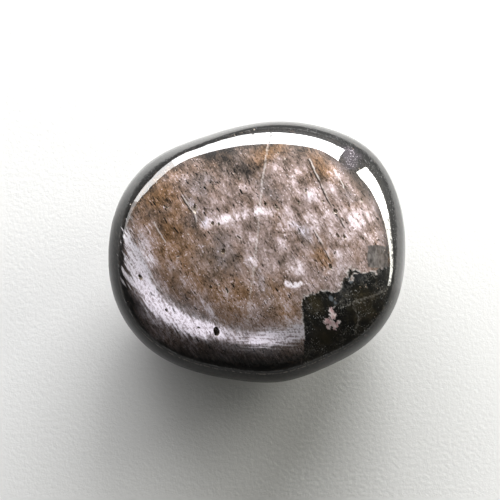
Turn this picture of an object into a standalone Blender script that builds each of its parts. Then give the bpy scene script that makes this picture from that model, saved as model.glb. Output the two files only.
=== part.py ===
"""A tumbled and polished pebble of hypersthene, one solid stone.

The stone lies on a small flat spot. X runs along its length, Y along its width, Z up.
The origin is the middle of its footprint, on the surface that it rests on.
Measures are in millimetres up to the last step, where the mesh is scaled to metres.
"""

import math

import bmesh
import bpy
from mathutils import Matrix, Vector

METRES_PER_MM = 0.001

# The girdle is the widest level of the stone, and the stone's heart is a point in its plane
GIRDLE_HEIGHT = 8.1
CROWN_HEIGHT = 8.4
BELLY_DEPTH = 8.3

# Radius of the widest outline, seen from above, at every 20 degrees anticlockwise from +X
OUTLINE_RADII = (
    17.83, 18.45, 18.80, 17.40, 16.33, 15.60, 15.80, 17.35, 18.20,
    18.25, 18.40, 17.80, 16.60, 15.85, 16.10, 16.05, 17.25, 17.85,
)

# The crown is a dome. At every 40 degrees from +X: its radius at girdle level over the outline's,
# and its section exponent, where 2 is an ellipse and more gives a fuller shoulder and a flatter face
CROWN_WIDTHS = (1.07, 1.03, 1.03, 1.09, 1.09, 1.03, 1.03, 1.03, 1.03)
CROWN_EXPONENTS = (2.54, 2.74, 2.59, 2.74, 2.78, 2.47, 2.45, 2.47, 2.40)
BELLY_WIDTH = 1.04
BELLY_EXPONENT = 2.4

# A steeper wall trims the crown and the belly to the outline, with a crisp edge between them
WALL_HEIGHT = 12.0
WALL_EXPONENT = 2.2
WALL_SHARPNESS = 150

# Soft facets that tumbling left: bearing and tilt of each one's normal in degrees,
# and its distance from the heart
WORN_FACETS = (
    (12, 36, 13.85),
    (42, 36, 13.65),
    (140, 36, 14.30),
    (188, 40, 14.90),
    (238, 35, 13.20),
    (20, 128, 13.90),
    (150, 132, 13.10),
    (262, 126, 13.40),
)
FACET_SHARPNESS = 26

# Cells along each edge of the cube that the rounded mesh starts from
CELLS_PER_SIDE = 26

# The cleavage runs from the upper left to the lower right of the top face
CLEAVAGE_BEARING = math.radians(-63)

# Open pits along the cleavage: place on the top face from the heart, length, width,
# and turn off the cleavage in degrees
PITS = (
    (-4.96, -10.24, 1.15, 0.75, -22),
    (-13.96, -3.80, 0.90, 0.50, 5),
    (-10.85, -7.73, 0.46, 0.30, 0),
    (-7.07, -9.75, 0.44, 0.28, 35),
    (-4.14, -1.00, 0.72, 0.55, -30),
    (-3.70, -5.54, 0.80, 0.30, -4),
    (-7.50, 4.10, 1.30, 0.42, -25),
    (-10.90, 4.40, 0.85, 0.28, 30),
    (-5.40, 2.33, 0.52, 0.38, 0),
    (-4.68, 2.21, 0.60, 0.30, 4),
    (-2.30, 0.62, 0.85, 0.28, 18),
    (2.10, 4.28, 0.95, 0.30, 5),
    (0.80, 4.65, 0.52, 0.40, 0),
    (5.55, 6.25, 0.66, 0.30, -30),
    (4.72, 4.85, 0.60, 0.34, 0),
    (9.02, 3.85, 0.66, 0.50, 8),
    (12.18, 5.35, 0.78, 0.32, 0),
    (9.28, 0.95, 0.66, 0.40, 18),
    (10.06, 0.86, 0.74, 0.32, -6),
    (8.40, -2.70, 0.86, 0.40, -10),
)
PIT_DEPTH_TO_WIDTH = 0.5
PIT_MESH_LEVEL = 2

STONE_COLOUR = (0.115, 0.078, 0.062, 1.0)
STONE_ROUGHNESS = 0.28
STONE_METALLIC = 0.45


def clear_scene():
    for old in list(bpy.data.objects):
        bpy.data.objects.remove(old)


def new_collection(name):
    made = bpy.data.collections.new(name)
    bpy.context.scene.collection.children.link(made)
    return made


def around(values, bearing):
    """Value at a bearing, on one smooth closed B-spline through values spaced evenly around the stone."""
    count = len(values)
    place = bearing / math.tau * count
    first = math.floor(place)
    t = place - first

    def control(index):
        before, here, after = (values[(index + step) % count] for step in (-1, 0, 1))
        return here - (before - 2 * here + after) / 6

    weights = (
        (1 - t) ** 3 / 6,
        (3 * t**3 - 6 * t**2 + 4) / 6,
        (-3 * t**3 + 3 * t**2 + 3 * t + 1) / 6,
        t**3 / 6,
    )
    return sum(weight * control(first - 1 + step) for step, weight in enumerate(weights))


def soft_maximum(parts, sharpness):
    """Largest of the parts, with a rounded change from one to the next: the sharper, the tighter."""
    largest = max(parts)
    return largest * sum((part / largest) ** sharpness for part in parts) ** (1 / sharpness)


def dome(flat, rise, radius, height, exponent):
    """Share of the way from the heart to a superelliptic dome: 1 on the dome, less inside it."""
    return ((flat / radius) ** exponent + (rise / height) ** exponent) ** (1 / exponent)


def facet_normal(bearing, tilt):
    return Vector((math.sin(tilt) * math.cos(bearing), math.sin(tilt) * math.sin(bearing), math.cos(tilt)))


FACETS = [
    (facet_normal(math.radians(bearing), math.radians(tilt)), distance)
    for bearing, tilt, distance in WORN_FACETS
]


def skin_gauge(point):
    """Share of the way from the heart to the stone's skin: 1 on the skin, less inside it."""
    bearing = math.atan2(point.y, point.x)
    flat = math.hypot(point.x, point.y)
    rise = abs(point.z)
    radius = around(OUTLINE_RADII, bearing)
    if point.z >= 0:
        crown_radius = radius * around(CROWN_WIDTHS, bearing)
        bulge = dome(flat, rise, crown_radius, CROWN_HEIGHT, around(CROWN_EXPONENTS, bearing))
    else:
        bulge = dome(flat, rise, radius * BELLY_WIDTH, BELLY_DEPTH, BELLY_EXPONENT)
    wall = dome(flat, rise, radius, WALL_HEIGHT, WALL_EXPONENT)
    body = soft_maximum((bulge, wall), WALL_SHARPNESS)
    facets = [max(0.0, point.dot(normal) / distance) for normal, distance in FACETS]
    return soft_maximum((body, *facets), FACET_SHARPNESS)


def skin_point(direction):
    """Point of the stone's skin along a direction from its heart."""
    return direction / skin_gauge(direction)


def top_point(x, y):
    """Point of the top face straight above (x, y), found by walking the direction until it lands there."""
    direction = Vector((x, y, CROWN_HEIGHT))
    for _ in range(12):
        found = skin_point(direction.normalized())
        direction = Vector((direction.x + x - found.x, direction.y + y - found.y, CROWN_HEIGHT))
    return found


def top_normal(x, y, step=0.05):
    along_x = top_point(x + step, y) - top_point(x - step, y)
    along_y = top_point(x, y + step) - top_point(x, y - step)
    return along_x.cross(along_y).normalized()


def rounded_body():
    """A gridded cube whose points are moved onto the stone's skin, with the flat spot cut off below."""
    mesh = bmesh.new()
    bmesh.ops.create_cube(mesh, size=2.0)
    bmesh.ops.subdivide_edges(mesh, edges=mesh.edges[:], cuts=CELLS_PER_SIDE - 1, use_grid_fill=True)
    for vertex in mesh.verts:
        evened = Vector([math.tan(side * math.pi / 4) for side in vertex.co])
        direction = Vector((evened.x * 1.0, evened.y * 0.9, evened.z * 0.5)).normalized()
        vertex.co = skin_point(direction)
    cut = bmesh.ops.bisect_plane(
        mesh,
        geom=mesh.verts[:] + mesh.edges[:] + mesh.faces[:],
        plane_co=(0, 0, -GIRDLE_HEIGHT),
        plane_no=(0, 0, -1),
        clear_outer=True,
    )
    rim = [item for item in cut["geom_cut"] if isinstance(item, bmesh.types.BMEdge)]
    bmesh.ops.contextual_create(mesh, geom=rim)
    bmesh.ops.recalc_face_normals(mesh, faces=mesh.faces[:])
    return mesh


def pit_cutter_mesh():
    """One small lens for each pit, sunk to its middle in the top face and laid along the cleavage."""
    mesh = bmesh.new()
    for x, y, length, width, turn in PITS:
        bearing = CLEAVAGE_BEARING + math.radians(turn)
        normal = top_normal(x, y)
        along = Vector((math.cos(bearing), math.sin(bearing), 0))
        along = (along - along.dot(normal) * normal).normalized()
        across = normal.cross(along)
        turned = Matrix((along, across, normal)).transposed().to_4x4()
        size = Matrix.Diagonal((length / 2, width / 2, width * PIT_DEPTH_TO_WIDTH, 1))
        bmesh.ops.create_icosphere(
            mesh,
            subdivisions=PIT_MESH_LEVEL,
            radius=1.0,
            matrix=Matrix.Translation(top_point(x, y)) @ turned @ size,
        )
    return mesh


def object_from(mesh, name, collection, shift):
    """Moves a bmesh from the stone's heart to its base, turns it into metres and gives it an object."""
    mesh.transform(Matrix.Scale(METRES_PER_MM, 4) @ Matrix.Translation(shift))
    data = bpy.data.meshes.new(name)
    mesh.to_mesh(data)
    mesh.free()
    made = bpy.data.objects.new(name, data)
    collection.objects.link(made)
    return made


def footprint_shift(mesh):
    """From the heart to the middle of the stone's footprint, with the flat spot at zero height."""
    xs = [vertex.co.x for vertex in mesh.verts]
    ys = [vertex.co.y for vertex in mesh.verts]
    return Vector((-(max(xs) + min(xs)) / 2, -(max(ys) + min(ys)) / 2, GIRDLE_HEIGHT))


def stone_material():
    material = bpy.data.materials.new("polished_hypersthene")
    material.use_nodes = True
    shader = material.node_tree.nodes["Principled BSDF"]
    shader.inputs["Base Color"].default_value = STONE_COLOUR
    shader.inputs["Roughness"].default_value = STONE_ROUGHNESS
    shader.inputs["Metallic"].default_value = STONE_METALLIC
    return material


def build_stone():
    stones = new_collection("hypersthene_pebble")
    cutters = new_collection("cutters")
    cutters.hide_render = True
    body = rounded_body()
    shift = footprint_shift(body)
    stone = object_from(body, "polished_stone", stones, shift)
    stone.data.materials.append(stone_material())
    pits = object_from(pit_cutter_mesh(), "pit_cutter", cutters, shift)
    pits.hide_render = True
    pits.display_type = "WIRE"
    cut = stone.modifiers.new("pits", "BOOLEAN")
    cut.operation = "DIFFERENCE"
    cut.solver = "EXACT"
    cut.object = pits
    stone.data.shade_smooth()
    return stone


clear_scene()
build_stone()
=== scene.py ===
# %% [markdown]
# # A tumbled hypersthene pebble
# Hypersthene is a dark iron and magnesium silicate. Thin plates of another mineral lie inside it on
# one crystal plane, and they throw back a bronze to silvery pink glow, the schiller, wherever the
# polished skin looks down on that plane. The sides, which look along it, stay almost black.
# The lesson builds the stone's skin from a rule, plucks pits out of it, and then paints the glow.

import math

import bpy
from mathutils import Matrix, Vector


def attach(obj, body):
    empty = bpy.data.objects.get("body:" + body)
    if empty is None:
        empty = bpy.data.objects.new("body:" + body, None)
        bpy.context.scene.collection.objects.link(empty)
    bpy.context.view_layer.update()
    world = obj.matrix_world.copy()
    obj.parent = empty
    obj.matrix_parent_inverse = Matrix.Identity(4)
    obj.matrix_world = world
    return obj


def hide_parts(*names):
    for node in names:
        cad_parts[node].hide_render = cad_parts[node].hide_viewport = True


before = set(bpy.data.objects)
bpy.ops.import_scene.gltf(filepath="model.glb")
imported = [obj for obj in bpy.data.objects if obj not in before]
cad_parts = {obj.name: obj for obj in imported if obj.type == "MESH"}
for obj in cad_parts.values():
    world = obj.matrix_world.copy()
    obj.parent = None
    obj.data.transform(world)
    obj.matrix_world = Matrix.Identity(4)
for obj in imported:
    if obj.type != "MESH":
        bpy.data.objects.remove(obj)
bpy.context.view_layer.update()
MM = 0.001

# %% [markdown]
# ## The camera
# The pebble was looked at from almost straight above, a hand's length away, from a little on the
# near side. A long lens keeps the near and far edges at the same scale. The aim is a point at the
# height of the stone's widest level.

# %% Camera
AIM_HEIGHT = 8.1
CAMERA_DISTANCE = 200.0
CAMERA_LEAN = math.radians(8)
LENS = 118.0
IMAGE_SIZE = 500.0
AIM_PIXEL = (256.75, 252.0)


def link(data_object):
    bpy.context.scene.collection.objects.link(data_object)
    return data_object


camera_data = bpy.data.cameras.new("overhead_camera")
camera_data.lens = LENS
camera_data.sensor_width = 36.0
camera_data.clip_start = 0.001
camera_data.shift_x = (IMAGE_SIZE / 2 - AIM_PIXEL[0]) / IMAGE_SIZE
camera_data.shift_y = (AIM_PIXEL[1] - IMAGE_SIZE / 2) / IMAGE_SIZE
camera = link(bpy.data.objects.new("overhead_camera", camera_data))
backwards = Vector((0, -math.sin(CAMERA_LEAN), math.cos(CAMERA_LEAN)))
camera.location = (Vector((0, 0, AIM_HEIGHT)) + CAMERA_DISTANCE * backwards) * MM
camera.rotation_euler = (CAMERA_LEAN, 0, 0)
bpy.context.scene.camera = camera
print("camera at", [round(value, 3) for value in camera.location])

# %% [markdown]
# ## Node maths as plain expressions
# Both the stone's shape and its finish are sums and products of fields. Written as nodes by hand
# they would be hundreds of lines, so one small class wraps a socket and turns Python's operators
# into Math and Vector Math nodes. Any other node comes from `node`, which sets the node's own
# settings first and its sockets after that.

# %% Sockets with arithmetic


class Wire:
    """An output socket that can be added, multiplied and compared like a number."""

    def __init__(self, socket):
        self.socket = socket
        self.tree = socket.id_data

    @classmethod
    def node(cls, tree, kind, settings=None, inputs=None, output=0):
        made = tree.nodes.new(kind)
        for name, value in (settings or {}).items():
            if name == "stops":
                fill_ramp(made.color_ramp, value)
            elif name == "choices":
                while len(made.index_switch_items) < value:
                    made.index_switch_items.new()
            else:
                setattr(made, name, value)
        for name, value in (inputs or {}).items():
            for one in value if isinstance(value, list) else [value]:
                if isinstance(one, Wire):
                    tree.links.new(one.socket, made.inputs[name])
                else:
                    made.inputs[name].default_value = one
        return cls(made.outputs[output])

    def out(self, name):
        return Wire(self.socket.node.outputs[name])

    def is_vector(self):
        return self.socket.type in {"VECTOR", "RGBA"}

    def maths(self, operation, *others):
        values = [self, *others]
        vector = any(isinstance(value, Wire) and value.is_vector() for value in values)
        kind = "ShaderNodeVectorMath" if vector else "ShaderNodeMath"
        if vector:
            values = [value if isinstance(value, Wire) else (value,) * 3 for value in values]
        output = "Value" if operation in {"DOT_PRODUCT", "LENGTH", "DISTANCE"} else 0
        return Wire.node(self.tree, kind, {"operation": operation}, dict(enumerate(values)), output)

    def scaled(self, factor):
        inputs = {"Vector": self, "Scale": factor}
        return Wire.node(self.tree, "ShaderNodeVectorMath", {"operation": "SCALE"}, inputs)

    def __add__(self, other):
        return self.maths("ADD", other)

    __radd__ = __add__

    def __sub__(self, other):
        return self.maths("SUBTRACT", other)

    def __rsub__(self, other):
        return (self * -1.0) + other

    def __mul__(self, other):
        if self.is_vector() and not (isinstance(other, Wire) and other.is_vector()):
            return self.scaled(other)
        if isinstance(other, Wire) and other.is_vector() and not self.is_vector():
            return other.scaled(self)
        return self.maths("MULTIPLY", other)

    __rmul__ = __mul__

    def __truediv__(self, other):
        if self.is_vector() and isinstance(other, Wire) and not other.is_vector():
            return self.scaled(1.0 / other)
        return self.maths("DIVIDE", other)

    def __rtruediv__(self, other):
        return Wire.node(self.tree, "ShaderNodeMath", {"operation": "DIVIDE"}, {0: other, 1: self})

    def __pow__(self, other):
        return self.maths("POWER", other)

    def __mod__(self, other):
        return self.maths("FLOORED_MODULO", other)

    def __abs__(self):
        return self.maths("ABSOLUTE")

    def dot(self, direction):
        inputs = {0: self, 1: direction}
        return Wire.node(self.tree, "ShaderNodeVectorMath", {"operation": "DOT_PRODUCT"}, inputs, "Value")

    def length(self):
        return self.maths("LENGTH")

    def at_least(self, other):
        return self.maths("MAXIMUM", other)

    def at_most(self, other):
        return self.maths("MINIMUM", other)

    def xyz(self):
        split = Wire.node(self.tree, "ShaderNodeSeparateXYZ", inputs={0: self})
        return [split.out(axis) for axis in "XYZ"]

    def rise(self, start, end):
        """0 up to start, 1 from end on, smooth between them; end may be the lower one."""
        inputs = {"Value": self, "From Min": start, "From Max": end}
        return Wire.node(self.tree, "ShaderNodeMapRange", {"interpolation_type": "SMOOTHSTEP"}, inputs)


def vector_of(tree, x, y, z):
    return Wire.node(tree, "ShaderNodeCombineXYZ", inputs={"X": x, "Y": y, "Z": z})


def fill_ramp(ramp, stops):
    while len(ramp.elements) < len(stops):
        ramp.elements.new(0.5)
    for element, (place, colour) in zip(ramp.elements, stops):
        element.position = place
        element.color = colour


# %% [markdown]
# ## The stone's skin
# A tumbling barrel rounds a stone everywhere at once: a domed crown, a domed belly, a steeper wall
# between them where the piece was thickest, and soft facets where it lay against its neighbours.
# Each of those is a share of the way out from the stone's heart, 1 on its surface, and the skin is
# where the largest share is 1. A plain cube grid pushed out to that skin gives even quads with no
# poles, so Geometry Nodes can make the whole stone from its measures.

# %% Measures of the stone, in millimetres and degrees
# Radius of the widest outline, seen from above, at every 20 degrees anticlockwise from +X
OUTLINE_RADII = (
    17.83, 18.45, 18.80, 17.40, 16.33, 15.60, 15.80, 17.35, 18.20,
    18.25, 18.40, 17.80, 16.60, 15.85, 16.10, 16.05, 17.25, 17.85,
)
# At every 40 degrees: the crown's radius over the outline's, and its section exponent, where 2 is
# an ellipse and more gives a fuller shoulder and a flatter face
CROWN_WIDTHS = (1.07, 1.03, 1.03, 1.09, 1.09, 1.03, 1.03, 1.03, 1.03)
CROWN_EXPONENTS = (2.54, 2.74, 2.59, 2.74, 2.78, 2.47, 2.45, 2.47, 2.40)
BELLY_WIDTH = 1.04
BELLY_EXPONENT = 2.4
WALL_EXPONENT = 2.2
# The higher the sharpness, the tighter the change from one surface to the next
WALL_SHARPNESS = 150.0
FACET_SHARPNESS = 26.0
# Bearing and tilt of each worn facet's normal, and its distance from the heart
WORN_FACETS = (
    (12, 36, 13.85),
    (42, 36, 13.65),
    (140, 36, 14.30),
    (188, 40, 14.90),
    (238, 35, 13.20),
    (20, 128, 13.90),
    (150, 132, 13.10),
    (262, 126, 13.40),
)
print(len(OUTLINE_RADII), "outline radii and", len(WORN_FACETS), "worn facets")

# %% A tree with named inputs


def geometry_tree(name, sizes):
    """A Geometry Nodes tree with a geometry input and output, and one named input for each size."""
    tree = bpy.data.node_groups.new(name, "GeometryNodeTree")
    face = tree.interface
    face.new_socket("Geometry", in_out="INPUT", socket_type="NodeSocketGeometry")
    for label, (kind, _) in sizes.items():
        face.new_socket(label, in_out="INPUT", socket_type="NodeSocket" + kind)
    face.new_socket("Geometry", in_out="OUTPUT", socket_type="NodeSocketGeometry")
    entry = tree.nodes.new("NodeGroupInput")
    wires = {socket.name: Wire(socket) for socket in entry.outputs if socket.name}
    return tree, wires


def add_tree(piece, tree, sizes):
    """Puts the tree on an object as a modifier and fills its inputs by the sockets' identifiers."""
    modifier = piece.modifiers.new(tree.name, "NODES")
    modifier.node_group = tree
    for item in tree.interface.items_tree:
        if item.in_out == "INPUT" and item.name in sizes:
            modifier[item.identifier] = sizes[item.name][1]
    return modifier


def finish_tree(tree, geometry):
    exit_node = tree.nodes.new("NodeGroupOutput")
    tree.links.new(geometry.socket, exit_node.inputs[0])


# %% Closed spline, soft maximum and dome as fields


def around(bearing, values):
    """Value at a bearing on one closed cubic B-spline through values spaced evenly around the stone."""
    tree = bearing.tree
    count = len(values)
    controls = []
    for index in range(count):
        before, here, after = values[index - 1], values[index], values[(index + 1) % count]
        controls.append(here - (before - 2 * here + after) / 6)
    place = (bearing * (count / math.tau)) % count
    first = place.maths("FLOOR")
    t = place - first
    s = 1.0 - t
    weights = (
        s * s * s * (1 / 6),
        (3.0 * t - 6.0) * t * t * (1 / 6) + 4 / 6,
        (3.0 * s - 6.0) * s * s * (1 / 6) + 4 / 6,
        t * t * t * (1 / 6),
    )
    total = None
    for step, weight in enumerate(weights):
        index = (first + (step - 1)) % count
        choices = {0: index + 0.25}
        choices.update({1 + number: control for number, control in enumerate(controls)})
        settings = {"data_type": "FLOAT", "choices": count}
        term = weight * Wire.node(tree, "GeometryNodeIndexSwitch", settings, choices)
        total = term if total is None else total + term
    return total


def largest(fields):
    found = fields[0]
    for field in fields[1:]:
        found = found.at_least(field)
    return found


def soft_maximum(parts, sharpness):
    """Largest of the parts, with a rounded change from one to the next."""
    top = largest(parts)
    total = 0.0
    for part in parts:
        total = total + (part / top) ** sharpness
    return top * total ** (1 / sharpness)


def dome(flat, rise, radius, height, exponent):
    """Share of the way out to a superelliptic dome."""
    return ((flat / radius) ** exponent + (rise / height) ** exponent) ** (1.0 / exponent)


def facet_normal(bearing, tilt):
    bearing, tilt = math.radians(bearing), math.radians(tilt)
    return (math.sin(tilt) * math.cos(bearing), math.sin(tilt) * math.sin(bearing), math.cos(tilt))


# %% [markdown]
# ## Pits
# Polishing plucks small flakes out of hypersthene along its cleavage, which runs from the upper
# left to the lower right of the crown. The larger pits sit where they are on the real stone, and a
# scatter of smaller ones follows the same grain. Each is a lens laid along the cleavage and cut
# out, so that it has a real rim, because a bump would leave the outline and the reflections whole.

# %% Pits on the crown: place from the heart, length, width, and turn off the cleavage
CLEAVAGE_BEARING = math.radians(-63)
PITS = (
    (-4.96, -10.24, 1.15, 0.75, -22),
    (-13.96, -3.80, 0.90, 0.50, 5),
    (-10.85, -7.73, 0.46, 0.30, 0),
    (-7.07, -9.75, 0.44, 0.28, 35),
    (-4.14, -1.00, 0.72, 0.55, -30),
    (-3.70, -5.54, 0.80, 0.30, -4),
    (-7.50, 4.10, 1.30, 0.42, -25),
    (-10.90, 4.40, 0.85, 0.28, 30),
    (-5.40, 2.33, 0.52, 0.38, 0),
    (-4.68, 2.21, 0.60, 0.30, 4),
    (-2.30, 0.62, 0.85, 0.28, 18),
    (2.10, 4.28, 0.95, 0.30, 5),
    (0.80, 4.65, 0.52, 0.40, 0),
    (5.55, 6.25, 0.66, 0.30, -30),
    (4.72, 4.85, 0.60, 0.34, 0),
    (9.02, 3.85, 0.66, 0.50, 8),
    (12.18, 5.35, 0.78, 0.32, 0),
    (9.28, 0.95, 0.66, 0.40, 18),
    (10.06, 0.86, 0.74, 0.32, -6),
    (8.40, -2.70, 0.86, 0.40, -10),
)
PIT_DEPTH_TO_WIDTH = 0.5

pit_mesh = bpy.data.meshes.new("pit_sites")
pit_mesh.from_pydata([(x, y, 0) for x, y, *_ in PITS], [], [])
for label, column in (("pit_length", 2), ("pit_width", 3), ("pit_turn", 4)):
    values = [math.radians(row[column]) if column == 4 else row[column] for row in PITS]
    pit_mesh.attributes.new(label, "FLOAT", "POINT").data.foreach_set("value", values)
stone = link(bpy.data.objects.new("dressed_stone", pit_mesh))
print(len(PITS), "listed pits")

# %% Finishes that the tree hands on
stone_finish = bpy.data.materials.new("polished_hypersthene")
pit_finish = bpy.data.materials.new("plucked_pit")
for finish in (stone_finish, pit_finish):
    finish.use_nodes = True
print("finishes:", stone_finish.name, "and", pit_finish.name)

# %% Start of the stone's tree: the skin
stone_sizes = {
    "Girdle height": ("Float", 8.1),
    "Crown height": ("Float", 8.4),
    "Belly depth": ("Float", 8.3),
    "Wall height": ("Float", 12.0),
    "Points along": ("Int", 156),
    "Points across": ("Int", 140),
    "Points deep": ("Int", 47),
    "Waviness": ("Float", 0.012),
    "Wave length": ("Float", 4.5),
    "Pit depth to width": ("Float", PIT_DEPTH_TO_WIDTH),
    "Small pits per square mm": ("Float", 0.22),
    "Small pit length": ("Float", 0.34),
    "Pit raggedness": ("Float", 0.16),
    "Seed": ("Int", 4),
    "Stone finish": ("Material", stone_finish),
    "Pit finish": ("Material", pit_finish),
}
stone_tree, size = geometry_tree("Tumbled stone", stone_sizes)


def geo(kind, settings=None, inputs=None, output=0):
    return Wire.node(stone_tree, kind, settings, inputs, output)


cube = geo(
    "GeometryNodeMeshCube",
    inputs={
        "Size": (2.0, 2.0, 2.0),
        "Vertices X": size["Points along"],
        "Vertices Y": size["Points across"],
        "Vertices Z": size["Points deep"],
    },
)
evened = geo("GeometryNodeInputPosition").scaled(math.pi / 4).maths("TANGENT")
outwards = evened * vector_of(stone_tree, 1.0, 0.9, 0.5)
x, y, z = outwards.xyz()
bearing = y.maths("ARCTAN2", x)
flat = (x * x + y * y).maths("SQRT")
rise = abs(z)
radius = around(bearing, OUTLINE_RADII)
crown_radius = radius * around(bearing, CROWN_WIDTHS)
crown = dome(flat, rise, crown_radius, size["Crown height"], around(bearing, CROWN_EXPONENTS))
belly = dome(flat, rise, radius * BELLY_WIDTH, size["Belly depth"], BELLY_EXPONENT)
wall = dome(flat, rise, radius, size["Wall height"], WALL_EXPONENT)
above = z.maths("GREATER_THAN", 0.0)
bulge = crown * above + belly * (1.0 - above)
shares = [soft_maximum([bulge, wall], WALL_SHARPNESS)]
for facet_bearing, facet_tilt, distance in WORN_FACETS:
    share = outwards.dot(facet_normal(facet_bearing, facet_tilt)) / distance
    shares.append(share.at_least(0.0))
skin = outwards / soft_maximum(shares, FACET_SHARPNESS)
print(len(stone_tree.nodes), "nodes shape the skin")

# %% Long waves that the barrel leaves, and the flat spot
wave = geo(
    "ShaderNodeTexNoise", inputs={"Vector": skin, "Scale": 1.0 / size["Wave length"], "Detail": 1.0}
)
skin = skin * (1.0 + (wave - 0.5) * 2.0 * size["Waviness"] / skin.length())
skin_x, skin_y, skin_z = skin.xyz()
skin = vector_of(stone_tree, skin_x, skin_y, skin_z.at_least(size["Girdle height"] * -1.0))
skin_mesh = geo("GeometryNodeSetPosition", inputs={"Geometry": cube, "Position": skin})

# %% Where the listed pits land on the skin, and a scatter of smaller ones
ENTRY_HEIGHT = 40.0
# Small pits lie on skin that leans less than about 44 degrees off level
PITTED_UPRIGHT = 0.72


def attribute(name):
    return geo("GeometryNodeInputNamedAttribute", {"data_type": "FLOAT"}, {"Name": name})


def keep(geometry, name, value, kind="FLOAT", domain="POINT"):
    settings = {"data_type": kind, "domain": domain}
    inputs = {"Geometry": geometry, "Name": name, "Value": value}
    return geo("GeometryNodeStoreNamedAttribute", settings, inputs)


site = geo("GeometryNodeInputPosition")
landing = geo(
    "GeometryNodeRaycast",
    inputs={
        "Target Geometry": skin_mesh,
        "Source Position": site + vector_of(stone_tree, 0.0, 0.0, ENTRY_HEIGHT),
        "Ray Direction": (0.0, 0.0, -1.0),
        "Ray Length": 2 * ENTRY_HEIGHT,
    },
    output="Hit Position",
)
listed = keep(size["Geometry"], "skin_normal", landing.out("Hit Normal"), "FLOAT_VECTOR")
listed = geo("GeometryNodeMeshToPoints", inputs={"Mesh": listed, "Position": landing})

skin_up = geo("GeometryNodeInputNormal").xyz()[2]
scatter = geo(
    "GeometryNodeDistributePointsOnFaces",
    {"distribute_method": "RANDOM"},
    {
        "Mesh": skin_mesh,
        "Selection": skin_up.maths("GREATER_THAN", PITTED_UPRIGHT),
        "Density": size["Small pits per square mm"],
        "Seed": size["Seed"],
    },
)


def chance(low, high, salt):
    inputs = {"Min": low, "Max": high, "Seed": size["Seed"] + salt}
    return geo("FunctionNodeRandomValue", {"data_type": "FLOAT"}, inputs, output=1)


small = keep(scatter, "skin_normal", scatter.out("Normal"), "FLOAT_VECTOR")
small = keep(small, "pit_length", size["Small pit length"] * chance(0.45, 1.0, 1) ** 2.0)
small = keep(small, "pit_width", attribute("pit_length") * chance(0.35, 0.8, 2))
small = keep(small, "pit_turn", chance(-0.35, 0.35, 3))
sites = geo("GeometryNodeJoinGeometry", inputs={"Geometry": [small, listed]})
print(len(stone_tree.nodes), "nodes up to the pits' places")

# %% A ragged lens at each site, cut out of the skin
pit_bearing = attribute("pit_turn") + CLEAVAGE_BEARING
along = vector_of(stone_tree, pit_bearing.maths("COSINE"), pit_bearing.maths("SINE"), 0.0)
normal = geo("GeometryNodeInputNamedAttribute", {"data_type": "FLOAT_VECTOR"}, {"Name": "skin_normal"})
turned = geo(
    "FunctionNodeAxesToRotation",
    {"primary_axis": "Z", "secondary_axis": "X"},
    {"Primary Axis": normal, "Secondary Axis": along},
)
pit_width = attribute("pit_width")
lens_size = vector_of(
    stone_tree, attribute("pit_length") / 2.0, pit_width / 2.0, pit_width * size["Pit depth to width"]
)
lens = geo("GeometryNodeMeshIcoSphere", inputs={"Radius": 1.0, "Subdivisions": 2})
lenses = geo(
    "GeometryNodeInstanceOnPoints",
    inputs={"Points": sites, "Instance": lens, "Rotation": turned, "Scale": lens_size},
)
lenses = geo("GeometryNodeRealizeInstances", inputs={"Geometry": lenses})
ragged = geo("ShaderNodeTexNoise", inputs={"Vector": geo("GeometryNodeInputPosition"), "Scale": 3.6})
ragged_shift = (ragged.out("Color") - 0.5) * size["Pit raggedness"] * 2.0
lenses = geo("GeometryNodeSetPosition", inputs={"Geometry": lenses, "Offset": ragged_shift})
lenses = keep(lenses, "plucked", True, "BOOLEAN", "FACE")
cut = geo(
    "GeometryNodeMeshBoolean",
    {"operation": "DIFFERENCE", "solver": "MANIFOLD"},
    {"Mesh 1": skin_mesh, "Mesh 2": lenses},
)
smooth = geo("GeometryNodeSetShadeSmooth", {"domain": "FACE"}, {"Geometry": cut, "Shade Smooth": True})
rims = geo(
    "GeometryNodeSetShadeSmooth",
    {"domain": "EDGE"},
    {"Geometry": smooth, "Selection": cut.out("Intersecting Edges"), "Shade Smooth": False},
)
print(len(stone_tree.nodes), "nodes up to the cut pits")

# %% From the heart in millimetres to the base in metres
corners = geo("GeometryNodeBoundBox", inputs={"Geometry": rims}, output="Min")
low_x, low_y, low_z = corners.xyz()
high_x, high_y, _ = corners.out("Max").xyz()
base = vector_of(stone_tree, (low_x + high_x) * -0.5, (low_y + high_y) * -0.5, low_z * -1.0)
placed = geo(
    "GeometryNodeSetPosition",
    inputs={"Geometry": rims, "Position": (geo("GeometryNodeInputPosition") + base) * MM},
)
whole = geo("GeometryNodeRealizeInstances", inputs={"Geometry": placed})
whole = geo("GeometryNodeSetMaterial", inputs={"Geometry": whole, "Material": size["Stone finish"]})
plucked = geo("GeometryNodeInputNamedAttribute", {"data_type": "BOOLEAN"}, {"Name": "plucked"})
pit_inputs = {"Geometry": whole, "Selection": plucked, "Material": size["Pit finish"]}
finish_tree(stone_tree, geo("GeometryNodeSetMaterial", inputs=pit_inputs))
print(len(stone_tree.nodes), "nodes in the whole tree")

# %% [markdown]
# ## A plain mesh
# A tree stays live on its object, which suits a stone that is still being shaped. This one is done,
# so the tree is evaluated once and its result kept: the finished piece carries its own points and
# nothing that still needs working out.

# %% Stone as a plain mesh
add_tree(stone, stone_tree, stone_sizes)
evaluated = stone.evaluated_get(bpy.context.evaluated_depsgraph_get())
finished_mesh = bpy.data.meshes.new_from_object(evaluated)
stone.modifiers.clear()
stone.data = finished_mesh
while finished_mesh.materials[0] is None:
    finished_mesh.materials.pop(index=0)
finished_mesh.calc_loop_triangles()
print("stone:", len(finished_mesh.vertices), "points,", len(finished_mesh.loop_triangles), "triangles")
print("finishes:", [material.name for material in finished_mesh.materials])
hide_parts("polished_stone")
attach(stone, "root")

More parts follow.
